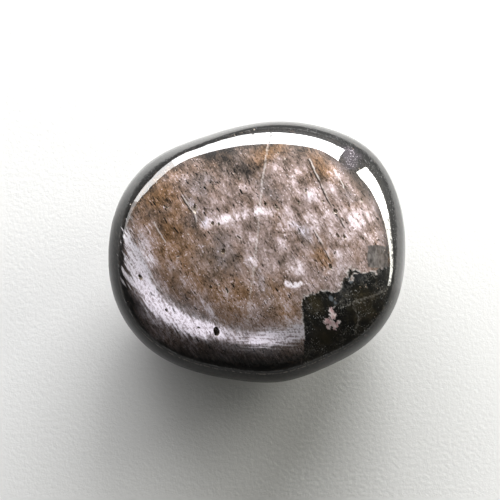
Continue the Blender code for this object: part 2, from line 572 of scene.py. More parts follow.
# %% [markdown]
# ## The finish
# Everything in the finish is laid out in the crystal's own axes: along the fibres, across them and
# up through the layers. A painted image could hold the same marks, but it would blur close up and
# stretch over the shoulders, so nodes work the marks out at every point of the skin. Colours are
# given as they look on screen and turned into the linear values that the shader works in. The
# polish is the shader's coat, and the glow is its base.

# %% Colours


def screen(red, green, blue):
    """A colour as it looks on screen, 0 to 255, in the shader's linear values."""

    def linear(value):
        value = value / 255
        return value / 12.92 if value <= 0.04045 else ((value + 0.055) / 1.055) ** 2.4

    return (linear(red), linear(green), linear(blue), 1.0)


def mix(tree, factor, first, second, mode="MIX"):
    settings = {"data_type": "RGBA", "blend_type": mode, "clamp_factor": True}
    return Wire.node(tree, "ShaderNodeMix", settings, {0: factor, 6: first, 7: second}, output=2)


def colour_ramp(tree, stops, factor):
    """A ramp through stops, each a place from 0 to 1 and a colour as it looks on screen."""
    settings = {"stops": [(place, screen(*colour)) for place, *colour in stops]}
    return Wire.node(tree, "ShaderNodeValToRGB", settings, {"Fac": factor})


print("middle grey in the shader's values:", round(screen(128, 128, 128)[0], 3))

# %% The crystal's axes in millimetres, and the lean of the skin
FIBRE_BEARING = math.radians(-58)
FIBRE = Vector((math.cos(FIBRE_BEARING), math.sin(FIBRE_BEARING), 0))
ACROSS = Vector((-math.sin(FIBRE_BEARING), math.cos(FIBRE_BEARING), 0))

shade_tree = stone_finish.node_tree
principled = shade_tree.nodes["Principled BSDF"]


def paint(kind, settings=None, inputs=None, output=0):
    return Wire.node(shade_tree, kind, settings, inputs, output)


def blend(factor, first, second, mode="MIX"):
    return mix(shade_tree, factor, first, second, mode)


place_mm = paint("ShaderNodeTexCoord", output="Object") * (1 / MM)
fibre_mm = place_mm.dot(tuple(FIBRE))
across_mm = place_mm.dot(tuple(ACROSS))
x_mm, y_mm, height_mm = place_mm.xyz()
skin_normal = paint("ShaderNodeTexCoord", output="Normal")
lean_x, lean_y, upright = skin_normal.xyz()


def facing(bearing):
    """How far the skin leans towards a bearing: 1 on an upright face that looks that way."""
    return skin_normal.dot(facet_normal(bearing, 90))


def leaning(start, end, lean=upright):
    """0 on skin that leans start degrees off level, 1 where it leans end, smooth between them."""
    return lean.rise(math.cos(math.radians(start)), math.cos(math.radians(end)))


print("fibres run along", [round(value, 2) for value in FIBRE])

# %% [markdown]
# ## Clouds, fibres and grain
# Under the polish the crystal is a felt of fibres, with cloudy patches, short dark gaps and single
# bright plates. One noise can't hold all of those sizes, and an image of them would repeat. So each
# size has its own noise, stretched along the fibres as far as the real thing is.

# %% Noises, from silky clouds down to the finest grain


def noise(place, detail=3.0, roughness=0.55, distortion=0.0):
    """Noise whose largest grains are one unit across."""
    inputs = {"Vector": place, "Scale": 1.0, "Detail": detail}
    inputs.update({"Roughness": roughness, "Distortion": distortion})
    return paint("ShaderNodeTexNoise", inputs=inputs)


def grain(along, across, up=1.0, shift=0.0):
    """Place in the crystal's axes, counted in grains of these sizes in millimetres."""
    return vector_of(shade_tree, fibre_mm / along + shift, across_mm / across, height_mm / up)


cloud = noise(grain(2.3, 1.7), 3.0, 0.55, 0.4)
silk = noise(grain(1.2, 0.42), 4.0, 0.65)
hue_cloud = noise(grain(2.6, 2.0, shift=7.0), 3.0, 0.6)
streak = noise(grain(2.6, 0.3), 3.0, 0.6)
fine = noise(grain(0.36, 0.2, 0.3), 3.0, 0.75)
dash = noise(grain(0.75, 0.15, 0.3, 3.0), 1.0, 0.5)
glint = noise(grain(0.17, 0.14, 0.2, 5.0), 0.0)
crowd = noise(grain(2.0, 2.0, 1.0, 11.0), 2.0, 0.6)
hairline = abs(noise(grain(1.7, 0.42, 0.6, 17.0), 3.0, 0.6) - 0.5).rise(0.022, 0.006)
pale_fibre = noise(grain(2.0, 0.11, 0.6, 23.0), 2.0, 0.6).rise(0.61, 0.72)
patch_wobble = noise(grain(1.2, 0.9), 4.0, 0.6) - 0.5
print(len(shade_tree.nodes), "nodes for the clouds, fibres and grain")

# %% Small chips: dark, longer along the fibres, with a bright edge on their far left side
# Their dark is painted shade, and their bright edge is a painted highlight.
CHIP_CELL = (1.5, 0.42)


def chips(reach, shift=0.0):
    """1 inside the chips that some of the cells carry, 0 outside; reach is their size in cells."""
    place = grain(*CHIP_CELL, 2.0, shift) + (fine.out("Color") - 0.5) * 0.55
    cells = paint("ShaderNodeTexVoronoi", inputs={"Vector": place, "Scale": 1.0}, output="Distance")
    lot, other_lot, _ = cells.out("Color").xyz()
    size_in_cells = lot.rise(0.55, 1.0) * reach * (0.5 + other_lot * 0.5)
    return (size_in_cells - cells).rise(-0.02, 0.04)


chip = chips(0.30)
chip_highlight = chips(0.36, 0.10) * (1.0 - chip) * silk.rise(0.45, 0.6)
print("chip cells, mm:", CHIP_CELL)

# %% [markdown]
# ## Kinds of mark
# Dozens of marks share two shapes: a ragged oval and a thin wandering line. Each shape could be
# drawn anew for every mark. Here each is a node group, made once and used wherever a mark of its
# kind lies, which keeps the material's own tree short enough to read and quick to build.

# %% A node group for each kind of mark


def mark_group(name, labels):
    """A shader node group with one number input for each label, and one number output."""
    group = bpy.data.node_groups.new(name, "ShaderNodeTree")
    for label in labels:
        group.interface.new_socket(label, in_out="INPUT", socket_type="NodeSocketFloat")
    group.interface.new_socket("Mark", in_out="OUTPUT", socket_type="NodeSocketFloat")
    entry = group.nodes.new("NodeGroupInput")
    return group, [Wire(socket) for socket in entry.outputs if socket.name]


OVAL_LABELS = ["Fibre place", "Across place", "Half length", "Half width", "Wobble"]
oval_group, oval_inputs = mark_group("ragged_oval", OVAL_LABELS)
fibre_off, across_off, half_length, half_width, oval_wobble = oval_inputs
du = fibre_off / half_length
dv = across_off / half_width
finish_tree(oval_group, (du * du + dv * dv).maths("SQRT") + oval_wobble)

line_group, line_inputs = mark_group("distance_to_a_line", ["X", "Y", "Run", "Climb"])
line_x, line_y, line_run, line_climb = line_inputs
reach = (line_x * line_run + line_y * line_climb) / (line_run * line_run + line_climb * line_climb)
reach = reach.at_least(0.0).at_most(1.0)
beside_x = line_x - reach * line_run
beside_y = line_y - reach * line_climb
finish_tree(line_group, (beside_x * beside_x + beside_y * beside_y).maths("SQRT"))
print("kinds of mark:", oval_group.name, "and", line_group.name)

# %% Ragged patches and thin seams at places on the crown


def smallest(fields):
    found = fields[0]
    for field in fields[1:]:
        found = found.at_most(field)
    return found


def patches(rows, softness=0.3, wobble=2.2, ragged_by=patch_wobble):
    """1 inside any of the ragged ovals, 0 outside. A row is a place and half sizes along and across."""
    ovals = []
    for x, y, along, across in rows:
        middle = Vector((x, y, 0))
        inputs = {
            "Fibre place": fibre_mm - middle.dot(FIBRE),
            "Across place": across_mm - middle.dot(ACROSS),
            "Half length": along,
            "Half width": across,
            "Wobble": ragged_by * wobble,
        }
        ovals.append(paint("ShaderNodeGroup", {"node_tree": oval_group}, inputs))
    return smallest(ovals).rise(1.0 + softness, 1.0 - softness)


BEND = 0.5
bend = (noise(grain(1.4, 1.4), 3.0, 0.6).out("Color") - 0.5) * BEND
bent_x, bent_y, _ = (place_mm + bend).xyz()


def seam(points, width):
    """1 on a thin wandering line through points given in millimetres, 0 beside it."""
    lines = []
    for (x0, y0), (x1, y1) in zip(points, points[1:]):
        inputs = {"X": bent_x - x0, "Y": bent_y - y0, "Run": x1 - x0, "Climb": y1 - y0}
        lines.append(paint("ShaderNodeGroup", {"node_tree": line_group}, inputs))
    return smallest(lines).rise(width, width * 0.3)


def all_seams(rows, width):
    return largest([seam(points, width) for points in rows])


print("seams wander by up to", BEND / 2, "mm")

# %% [markdown]
# ## Where the glow shows
# The plates lie in one plane, so the glow shows only where the skin is nearly parallel to it, and
# it ends in a ragged oval on the shoulders. On the real stone it drifts as the light moves, and a
# shader could follow that. Here the lean of the skin alone decides, because a finish that is read
# from the skin stays in its place whichever way the stone is looked at. So the glow is a sheen
# painted into the base colour.

# %% An oval of skin around the layers' own direction
GLOW_ENDS = 0.60
GLOW_FULL = 0.44
GLOW_OVAL = (0.92, 1.45)
layer_x, layer_y, _ = facet_normal(150, 2)
off_x = lean_x - layer_x
off_y = lean_y - layer_y
off_layers = (off_x * off_x * GLOW_OVAL[0] + off_y * off_y * GLOW_OVAL[1]).maths("SQRT")
off_layers = off_layers + (streak - 0.5) * 0.12 + (fine - 0.5) * 0.14 + patch_wobble * 0.05
# The glow is a sheen painted into the base colour.
glow = off_layers.rise(GLOW_ENDS, GLOW_FULL)
glow_leans = [math.degrees(math.asin(GLOW_ENDS / math.sqrt(share))) for share in GLOW_OVAL]
print("the glow ends at leans of about", [round(lean) for lean in glow_leans], "along X and Y")

# %% [markdown]
# ## The silvery flash
# On the near left shoulder the skin cuts across fibres that all lean one way, and they send the
# light back in a silvery streak with frayed ends. A mirror-like finish could give it, but only under
# one placed light. So the streak is a painted highlight: a band of skin chosen by its lean, frayed by
# the fibre noises and painted silvery white. It is also made metallic, which lets it brighten and dim
# a little with the light, so it is partly a real reflection.

# %% The flash, on skin that leans to the near left by about 25 degrees
FLASH_BEARING = 238
towards_flash = facing(FLASH_BEARING)
along_flash = facing(FLASH_BEARING + 90)
middle = 0.43 - (along_flash - 0.02).at_least(0.0) * 0.72
middle = middle - (along_flash * -1.0 - 0.10).at_least(0.0).at_most(0.15) * 0.5
from_middle = towards_flash - middle
contour = noise(vector_of(shade_tree, x_mm / 2.4, y_mm / 0.16, height_mm), 2.0, 0.6)
wood = streak + (contour - streak) * along_flash.rise(0.08, 0.2)
wood_weight = along_flash.rise(-0.22, -0.42) * 2.5 + 2.5
flash_grain = (wood - 0.5) * wood_weight + (fine - 0.5) * 0.9 + patch_wobble * 0.8
flash_core = from_middle.rise(-0.11, -0.02) * from_middle.rise(0.10, 0.02)
flash_skirt = from_middle.rise(-0.22, -0.02) * from_middle.rise(0.21, 0.05)
thinner = along_flash.rise(0.05, 0.11) * along_flash.rise(0.20, 0.14)
strength = (along_flash + (streak - 0.5) * 0.8).rise(-0.56, -0.34) * along_flash.rise(0.42, 0.36)
strength = strength * (1.0 - thinner * 0.55) * (1.0 - along_flash.rise(0.12, 0.20) * 0.12)
flash = (flash_core * 0.95 + flash_skirt * 0.42 + flash_grain * flash_skirt - 0.1) * strength
flash = flash.rise(0.05, 0.90) * (1.0 - chip * 0.8)
below_flash = from_middle.rise(-0.02, 0.05) * (from_middle + (streak - 0.5) * 0.3).rise(0.34, 0.08)
below_flash = below_flash * along_flash.rise(-0.30, -0.05)
print("the flash looks towards", FLASH_BEARING, "degrees")

# %% [markdown]
# ## The top face
# The top is a patchwork of silky clouds. Domains of the crystal tilt their plates by a degree or
# two, so each one glows a little differently. Over them lie a fine grain, short dark dashes along
# the fibres and pale glints. Each could have its own colour. Instead one field holds how bright the
# glow is, and a ramp turns it into colour, because in the real stone the two go together: dull is
# brown, bright is pinkish white.

# %% Patches that are brighter or duller than the rest
PINK_PATCHES = (
    (-3.4, 6.0, 0.9, 0.35),
    (-1.7, 6.6, 0.5, 0.3),
    (2.0, 9.2, 0.6, 1.1),
    (-8.4, 8.0, 0.4, 0.4),
    (-5.3, 3.1, 0.5, 0.7),
    (-3.1, 3.4, 0.45, 1.1),
    (-1.6, 4.0, 0.45, 0.9),
    (0.2, 3.9, 0.5, 0.9),
    (1.7, 3.7, 0.4, 0.5),
    (-1.8, 3.2, 0.9, 0.7),
    (-4.0, 4.8, 0.7, 0.6),
    (-2.0, 1.1, 0.9, 0.4),
    (-0.7, 0.3, 0.9, 0.6),
    (-3.4, -0.2, 0.6, 0.5),
    (3.9, 3.6, 0.8, 0.8),
    (6.4, 5.9, 0.8, 0.9),
    (5.2, 8.6, 0.6, 1.0),
    (8.6, 6.6, 0.6, 0.8),
    (6.2, 3.0, 0.7, 1.2),
    (9.0, 2.9, 0.9, 1.5),
    (11.4, 2.8, 1.3, 1.7),
    (13.2, 3.1, 1.0, 0.6),
    (3.8, 1.6, 1.0, 0.8),
    (5.2, 1.5, 1.0, 0.7),
    (7.0, 1.5, 0.9, 0.8),
    (8.6, 1.4, 0.9, 0.7),
    (7.5, 4.9, 0.9, 0.6),
    (3.2, -0.3, 1.0, 0.6),
    (9.3, 8.2, 0.7, 0.6),
    (10.6, 0.6, 0.6, 1.2),
    (13.2, 0.9, 0.6, 1.0),
    (9.6, -1.2, 0.6, 0.8),
    (6.8, 0.6, 0.8, 0.6),
    (4.6, -2.6, 1.0, 0.6),
    (1.2, -1.6, 1.2, 0.6),
    (2.3, -3.0, 0.6, 0.4),
    (-0.5, -2.2, 1.0, 0.5),
    (-5.8, -7.6, 1.2, 0.5),
    (-13.0, -1.0, 1.6, 0.7),
    (4.6, 6.6, 1.2, 0.4),
    (7.8, 4.6, 1.4, 0.4),
)
DULL_PATCHES = (
    (-12.0, 4.6, 2.2, 1.6),
    (-11.0, 1.8, 1.6, 1.2),
    (-9.2, 3.0, 1.4, 1.2),
    (-12.6, 6.6, 1.6, 0.8),
    (12.5, 4.9, 0.9, 0.6),
    (7.6, 8.0, 0.8, 0.6),
    (-1.0, 4.9, 1.0, 0.5),
    (-4.4, 11.2, 1.4, 2.2),
    (-1.2, 8.6, 1.2, 1.2),
)
NOTCH = ((3.4, -4.80), (3.95, -5.02), (4.55, -5.12), (5.1, -4.85))
NOTCH_MIDDLE = ((4.6, -5.0, 0.36, 0.3),)
LOBES = (
    (4.3, -3.5, 0.85, 0.85),
    (3.4, -2.8, 0.4, 0.5),
    (6.6, -4.4, 1.2, 1.1),
    (8.9, -4.0, 1.3, 1.2),
    (10.0, -2.6, 1.4, 0.8),
)
ARC = ((-6.3, 1.9), (-5.1, 2.4), (-3.1, 2.75), (-1.6, 3.2), (0.0, 3.7), (1.55, 3.7), (3.1, 3.0))
dull_patch = patches(DULL_PATCHES, softness=0.8, wobble=1.8)
pink = patches(PINK_PATCHES, softness=0.85, wobble=3.4)
notch = seam(NOTCH, 0.42).at_least(patches(NOTCH_MIDDLE, softness=0.3, wobble=1.0))
lobe = patches(LOBES, softness=0.5, wobble=1.0)
arc = seam(ARC, 0.75) * silk.rise(0.30, 0.55)
print(len(PINK_PATCHES), "bright and", len(DULL_PATCHES), "dull patches")

# %% How bright the glow is
right_side = x_mm.rise(-12.0, 16.0)
left_side = x_mm.rise(4.0, -10.0)
far_edge = y_mm.rise(4.0, 12.0)
near_edge = y_mm.rise(-4.0, -8.0)
inside_flash = from_middle.rise(-0.30, -0.10) * along_flash.rise(0.0, -0.2)
far_left_rim = off_layers.rise(0.30, 0.48) * facing(130).rise(0.1, 0.3)
dark_dashes = dash.rise(0.62, 0.70) * crowd.rise(0.40, 0.60)
dark_hairs = hairline * crowd.rise(0.60, 0.45) * dash.rise(0.35, 0.5)
# Pale glints are painted highlights.
pale_glints = glint.rise(0.70, 0.80) * crowd.rise(0.30, 0.60)
# The chips' bright edges are painted highlights and their dark is painted shade.
brightness = (
    0.435
    + (cloud - 0.5) * 0.80
    + (silk - 0.5) * 0.42
    + (streak - 0.5) * 0.20
    + (fine - 0.5) * 0.68
    + pink * (0.02 + silk * 0.36)
    + notch * 0.48
    + lobe * 0.13
    + arc * 0.20
    + right_side * 0.01
    - far_edge * 0.12
    - dull_patch * 0.15
    + near_edge * 0.08
    + inside_flash * 0.14
    - far_left_rim * 0.14
    + pale_fibre * (left_side * 0.20 + 0.08)
    + chip_highlight * 0.30
    - dark_dashes.at_least(dark_hairs * 0.8).at_least(chip) * 0.46
    + pale_glints * 0.36
)
print(len(shade_tree.nodes), "nodes up to the brightness of the glow")

# %% Its colour: dull brown to bright pinkish white, warmer on the left and greyer in places
GLOW_STOPS = (
    (0.04, 34, 30, 28),
    (0.20, 76, 65, 58),
    (0.34, 112, 96, 88),
    (0.50, 146, 128, 123),
    (0.64, 184, 167, 167),
    (0.80, 226, 212, 219),
    (0.96, 252, 246, 253),
)
ORANGE_ZONES = (
    (-12.0, 5.5, 5.0, 3.0),
    (-9.5, -0.5, 5.0, 3.0),
    (-8.0, -3.5, 3.5, 2.4),
    (-3.0, -7.0, 3.5, 3.0),
    (3.2, -7.5, 3.0, 1.6),
    (8.0, 9.0, 2.0, 1.0),
    (1.5, 11.0, 1.0, 2.4),
    (15.0, -1.5, 1.5, 1.0),
    (7.6, -1.6, 1.6, 1.0),
)
GREY_ZONES = (
    (-6.3, 7.4, 1.6, 1.3),
    (-3.0, 9.8, 1.2, 1.6),
    (-1.4, 8.6, 1.4, 0.8),
    (-7.4, 4.1, 2.2, 0.6),
    (-4.6, -1.6, 2.4, 1.8),
    (1.0, 6.6, 3.0, 0.8),
    (0.5, -4.5, 2.5, 0.7),
    (11.0, 5.6, 1.0, 0.6),
    (5.5, 1.0, 1.6, 0.8),
)
WARM = (1.10, 0.84, 0.50, 1.0)
COOL = (0.80, 0.90, 0.99, 1.0)
glow_colour = colour_ramp(shade_tree, GLOW_STOPS, brightness)
orange = patches(ORANGE_ZONES, softness=0.9, wobble=1.8) * 0.85 + (hue_cloud - 0.5) * 1.4
grey = patches(GREY_ZONES, softness=0.8, wobble=2.0) * 0.7 - (hue_cloud - 0.5) * 1.3
dull = brightness.rise(0.72, 0.40)
top_colour = blend(orange * dull, glow_colour, blend(1.0, glow_colour, WARM, "MULTIPLY"))
top_colour = blend(grey, top_colour, blend(1.0, top_colour, COOL, "MULTIPLY"))
print(len(GLOW_STOPS), "colours from dull to bright")

# %% [markdown]
# ## Fracture and cracks
# One old fracture crosses the whole stone, and a few short cracks run along the cleavage. They are
# closed and polished over, so they have a colour but no depth. Grooves in the mesh would catch the
# light where the real ones don't, so these are lines in the finish, in the places where they lie.

# %% Old fracture and cleavage cracks
FRACTURE = (
    (1.95, 14.4),
    (1.34, 11.76),
    (0.62, 6.83),
    (0.15, 1.42),
    (-0.32, -3.29),
    (-0.79, -6.78),
    (-1.14, -10.2),
    (-1.39, -14.5),
)
PALE_CRACKS = (
    ((4.4, 14.7), (4.1, 13.1)),
    ((-12.11, 2.54), (-10.77, 0.0)),
    ((9.2, 8.9), (10.3, 6.6)),
)
DARK_CRACKS = (
    ((6.07, 9.99), (7.46, 6.88), (8.73, 4.24), (10.37, 1.77)),
    ((6.59, 1.33), (8.46, -1.94)),
    ((-8.9, 5.6), (-7.6, 3.6), (-7.2, 2.4)),
)
PALE_EDGE_SHIFT = (0.17, 0.09)
PALE_SEAM = screen(206, 200, 198)
DARK_SEAM = screen(34, 29, 27)
shift_x, shift_y = PALE_EDGE_SHIFT
edge_lines = [tuple((x + shift_x, y + shift_y) for x, y in points) for points in DARK_CRACKS]
fracture = seam(FRACTURE, 0.2)
pale_cracks = all_seams(PALE_CRACKS, 0.10)
dark_cracks = all_seams(DARK_CRACKS, 0.12)
pale_edges = all_seams(edge_lines, 0.12)
cracks = pale_cracks.at_least(dark_cracks)
broken = dash.rise(0.38, 0.50)
pale_lines = pale_cracks.at_least(pale_edges * streak.rise(0.42, 0.56))
top_colour = blend(fracture * (fine.rise(0.42, 0.62) * 0.4 + 0.06), top_colour, PALE_SEAM)
top_colour = blend(pale_lines * 0.6, top_colour, PALE_SEAM)
top_colour = blend(dark_cracks * (0.35 + broken * 0.6), top_colour, DARK_SEAM)
print("one fracture and", len(PALE_CRACKS) + len(DARK_CRACKS), "cracks")

# %% [markdown]
# ## The grey block
# Near the right edge a small block of the crystal lies a little askew, and its plates throw the
# light elsewhere. An oval would look like a stain. The block broke along straight planes, so it is
# a box seen from above, with sides that are bent only slightly.

# %% A grey block that lies a little askew
BLOCK_X = 14.3
BLOCK_Y = -1.45
BLOCK_HALF_LENGTH = 1.25
BLOCK_HALF_WIDTH = 1.35
off_block_x = abs(bent_x - BLOCK_X) / BLOCK_HALF_LENGTH
off_block_y = abs(bent_y - BLOCK_Y) / BLOCK_HALF_WIDTH
block = off_block_x.at_least(off_block_y).rise(1.06, 0.96)
block_grain = noise(vector_of(shade_tree, x_mm / 0.35, y_mm / 0.9, height_mm), 3.0, 0.65)
block_colour = blend(block_grain.rise(0.3, 0.7), screen(56, 54, 53), screen(116, 112, 110))
top_colour = blend(block * 0.9, top_colour, block_colour)
print("block, mm:", 2 * BLOCK_HALF_LENGTH, "by", 2 * BLOCK_HALF_WIDTH)

# %% [markdown]
# ## The dark corner
# In the near right corner a neighbouring grain lies the other way, so none of its plates face up
# and it stays almost black, with a pale vein and a cluster of small pink crystals. It could be one
# more ragged patch. But its outline is a boundary between two grains, straight on the left and
# stepped and scalloped at the top, and a distance to that outline gives the edge, the pale fringe
# along it and the mist inside it from one field.

# %% How far inside the dark corner a point lies, in millimetres
CORNER_LEFT = 5.45
CORNER_STEP = 11.0
CORNER_TOP_AT_LEFT = -6.0
CORNER_TOP_SLOPE = 0.32
CORNER_STEP_TOP = -3.2
OVERHANGING_LOBES = ((6.6, -5.0, 1.05), (8.9, -4.7, 1.15), (7.8, -4.9, 0.8), (12.6, -2.3, 1.2))
scallop_inputs = {"Vector": grain(1.3, 1.3), "Scale": 1.0}
scallops = paint("ShaderNodeTexVoronoi", inputs=scallop_inputs, output="Color")
jag = (scallops.xyz()[0] - 0.5) * 0.8 + patch_wobble * 1.2
inside_left = x_mm - CORNER_LEFT + jag * 0.5
inside_top = (x_mm - CORNER_LEFT) * CORNER_TOP_SLOPE + CORNER_TOP_AT_LEFT - y_mm + jag
inside_step = x_mm - CORNER_STEP + jag
inside_step_top = y_mm * -1.0 + CORNER_STEP_TOP + jag
inside = inside_left.at_most(inside_top).at_least(inside_step.at_most(inside_step_top))
for lobe_x, lobe_y, lobe_radius in OVERHANGING_LOBES:
    off_x = bent_x - lobe_x
    off_y = bent_y - lobe_y
    inside = inside.at_most((off_x * off_x + off_y * off_y).maths("SQRT") - lobe_radius)
corner = inside.rise(-0.05, 0.05)
fringe = inside.rise(-0.26, -0.03) * inside.rise(0.14, 0.0) * fine.rise(0.46, 0.54)
fringe = fringe * leaning(31, 24)
print(len(OVERHANGING_LOBES), "lobes of the top face hang over the corner")

# %% Colours inside the dark corner
CORNER_STOPS = ((0.36, 4, 5, 6), (0.50, 18, 18, 15), (0.64, 40, 36, 27), (0.88, 104, 96, 88))
BLUE_BLACK = ((10.2, -5.9, 1.2, 0.7), (9.4, -7.0, 0.6, 0.5), (12.2, -4.0, 0.8, 0.6))
OLIVE = ((6.8, -7.2, 0.9, 0.8), (12.5, -7.0, 1.6, 1.3), (8.0, -11.0, 1.3, 1.0))
BLUE_GLINTS = ((8.7, -6.5, 0.3, 0.2), (9.2, -7.0, 0.2, 0.14), (11.0, -4.4, 0.3, 0.2))
CLUSTER = (
    (8.7, -7.9, 0.36, 0.30),
    (8.9, -8.5, 0.42, 0.36),
    (8.2, -9.2, 0.34, 0.30),
    (8.7, -9.3, 0.36, 0.36),
    (9.2, -9.6, 0.40, 0.36),
    (9.6, -9.2, 0.24, 0.26),
    (8.4, -9.8, 0.26, 0.22),
)
SPECK = ((14.7, -9.9, 0.14, 0.13),)
VEIN = ((15.43, -5.16), (13.4, -6.2), (11.54, -6.85), (9.88, -7.59))
VEIN_BRANCH = ((11.2, -7.0), (12.05, -8.77), (11.6, -10.2))
corner_cloud = noise(grain(1.9, 1.4, shift=2.0), 4.0, 0.65, 0.6)
corner_tone = corner_cloud + (fine - 0.5) * 0.6 + (streak - 0.5) * 0.3
blue_black = patches(BLUE_BLACK, softness=0.9, wobble=4.0)
olive = patches(OLIVE, softness=0.9, wobble=3.0)
# The bluish glints and the grey glints in the corner are painted highlights.
blue_glints = patches(BLUE_GLINTS, softness=0.5, wobble=3.0, ragged_by=fine - 0.5)
mist = inside.rise(1.6, 0.1) * (fine - 0.5 + patch_wobble).rise(0.0, 0.3)
veins = seam(VEIN, 0.22).at_least(seam(VEIN_BRANCH, 0.2)) * fine.rise(0.42, 0.6)
threads = abs(noise(grain(1.3, 1.0, 1.0, 29.0), 3.0, 0.65) - 0.5).rise(0.016, 0.004)
threads = threads * crowd.rise(0.40, 0.60)
corner_glints = glint.rise(0.69, 0.78) * crowd.rise(0.42, 0.60)
cluster = patches(CLUSTER, softness=0.2, wobble=3.2, ragged_by=fine - 0.5)
cluster = cluster.at_least(patches(SPECK, softness=0.2, wobble=0.0))
cluster_colour = blend(silk.rise(0.35, 0.65), screen(212, 172, 176), screen(255, 240, 242))
corner_layers = (
    (blue_black * 0.2, screen(72, 76, 82)),
    (olive * 0.5, screen(62, 54, 32)),
    (blue_glints * 0.6, screen(126, 134, 142)),
    (mist * 0.5, screen(120, 118, 116)),
    (veins * 0.7, screen(132, 128, 122)),
    (threads * 0.5, screen(124, 120, 114)),
    (corner_glints * 0.8, screen(170, 170, 168)),
    (cluster, cluster_colour),
)
corner_colour = colour_ramp(shade_tree, CORNER_STOPS, corner_tone)
for share, colour in corner_layers:
    corner_colour = blend(share, corner_colour, colour)
lit_colour = blend(corner, top_colour, corner_colour)
lit_colour = blend(fringe * 0.8, lit_colour, PALE_SEAM)
print(len(corner_layers), "layers of colour in the corner")

# %% [markdown]
# ## The sides
# The sides look along the layers, so they are nearly black, with faint lines where the layers come
# out at the skin. A pale grey strip on the steep sides that face the far window is a painted
# reflection of the bright paper, and a thin pale line low on the near side is a painted reflection
# as well. An image wrapped around the stone would need a seam somewhere. The height, the bearing
# and the lean of the skin place everything here, and they run around the stone unbroken.

# %% Dark sides with faint layers, under the glow and the flash
side_cloud = noise(grain(1.0, 0.4, 0.8), 4.0, 0.7)
side_fibres = noise(grain(3.0, 0.8, 0.28, 31.0), 3.0, 0.65).rise(0.52, 0.74)
# Painted reflection of the paper: a pale grey strip on steep sides that face the far window.
far_rim_reflection = leaning(48, 52) * leaning(98, 86) * facing(78).rise(-0.25, 0.65)
# Painted reflection: a thin pale line low on the near side.
near_rim_reflection = (upright + patch_wobble * 0.03).rise(0.52, 0.55) * upright.rise(0.59, 0.56)
near_rim_reflection = near_rim_reflection * facing(262).rise(0.60, 0.75) * side_cloud.rise(0.40, 0.60)
side_colour = blend(side_cloud.rise(0.40, 0.75), screen(11, 11, 11), screen(42, 38, 36))
side_colour = blend(side_fibres * 0.6, side_colour, screen(70, 58, 50))
side_colour = blend(far_rim_reflection * (0.22 + side_cloud * 0.16), side_colour, screen(88, 88, 88))
side_colour = blend(near_rim_reflection, side_colour, screen(120, 108, 98))

lit = glow.at_least(corner * leaning(62, 46) * 0.7).at_least(below_flash * 0.75)
stone_colour = blend(lit, side_colour, lit_colour)
flash_strength = flash * (1.0 - corner)
# The flash colour is a painted silvery highlight laid over the glow.
flash_tone = (fine + wood * 0.6).rise(0.60, 0.88)
painted_flash_colour = blend(flash_tone, screen(158, 144, 146), screen(254, 249, 255))
stone_colour = blend(flash_strength, stone_colour, painted_flash_colour)
print(len(shade_tree.nodes), "nodes up to the sides")

# %% [markdown]
# ## Dark line and glints on the shoulders
# On the far and right shoulders a ragged black line with pale specks runs outside the bright bands,
# and a dark patch with pale specks lies between them. The black line is a painted dark reflection:
# it takes strength from the coat and paints the base near black under it. The pale specks along it
# are painted glints.

# %% Painted dark shoulder line with painted glints, and the dark patch between the bands
BAND_GAP_PATCH = ((11.3, 10.7, 1.1, 0.8), (11.0, 9.8, 0.6, 0.9))
far_right = facing(62).rise(-0.30, 0.35)
uneven = upright + (fine - 0.5) * 0.22 + (side_cloud - 0.5) * 0.14
uneven = uneven - facing(10).rise(0.3, 0.5) * 0.018
shoulder = leaning(38, 41, uneven) * leaning(51, 48, uneven)
# Pale specks on the shoulder line: painted glints.
shoulder_glints = shoulder * glint.rise(0.66, 0.74) * crowd.rise(0.42, 0.60) * far_right
# A dark patch with pale specks, where the bright bands break.
band_gap_patch = patches(BAND_GAP_PATCH, softness=0.9, wobble=3.4)
band_gap_colour = blend(glint.rise(0.62, 0.72), screen(66, 60, 66), screen(170, 162, 170))
# Near-black painted dark reflection along the shoulders.
stone_colour = blend(shoulder * far_right * 0.95, stone_colour, screen(6, 6, 6))
stone_colour = blend(shoulder_glints * 0.35, stone_colour, screen(140, 138, 140))
stone_colour = blend(band_gap_patch * 0.75, stone_colour, band_gap_colour)
print("worn spot of", len(BAND_GAP_PATCH), "patches")

# %% How strong the polish is
rough_fracture = fracture * (fine.rise(0.4, 0.5) * 0.5 + 0.4)
dulled = (shoulder * 0.85).at_least(rough_fracture).at_least(cracks * broken * 0.7)
low_side = leaning(48, 52) * leaning(108, 98) * facing(250).rise(-0.35, 0.35)
flash_zone = from_middle.rise(-0.12, 0.0) * from_middle.rise(0.30, 0.20)
flash_zone = flash_zone * along_flash.rise(-0.6, -0.4)
polish = 1.0 - dulled.at_least(low_side * 0.78).at_least(flash_zone * 0.65)

# %% The stone's shader
COAT_INDEX = 1.7
COAT_ROUGHNESS = 0.02
BASE_ROUGHNESS = 0.34
BASE_MIRROR = 0.1
FLASH_METAL = 0.85
shade_tree.links.new(stone_colour.socket, principled.inputs["Base Color"])
shade_tree.links.new((flash_strength * FLASH_METAL).socket, principled.inputs["Metallic"])
shade_tree.links.new(polish.socket, principled.inputs["Coat Weight"])
principled.inputs["Roughness"].default_value = BASE_ROUGHNESS
principled.inputs["Specular IOR Level"].default_value = BASE_MIRROR
principled.inputs["Coat Roughness"].default_value = COAT_ROUGHNESS
principled.inputs["Coat IOR"].default_value = COAT_INDEX
print(len(shade_tree.nodes), "nodes in the finish")

# %% [markdown]
# ## Inside the pits
# The polish never reached the inside of a pit, so it is a rough, grainy break. It could share the
# stone's finish with the coat taken away. A finish of its own is simpler, and one does for all the
# pits, because each is too small to show more than a few grains.

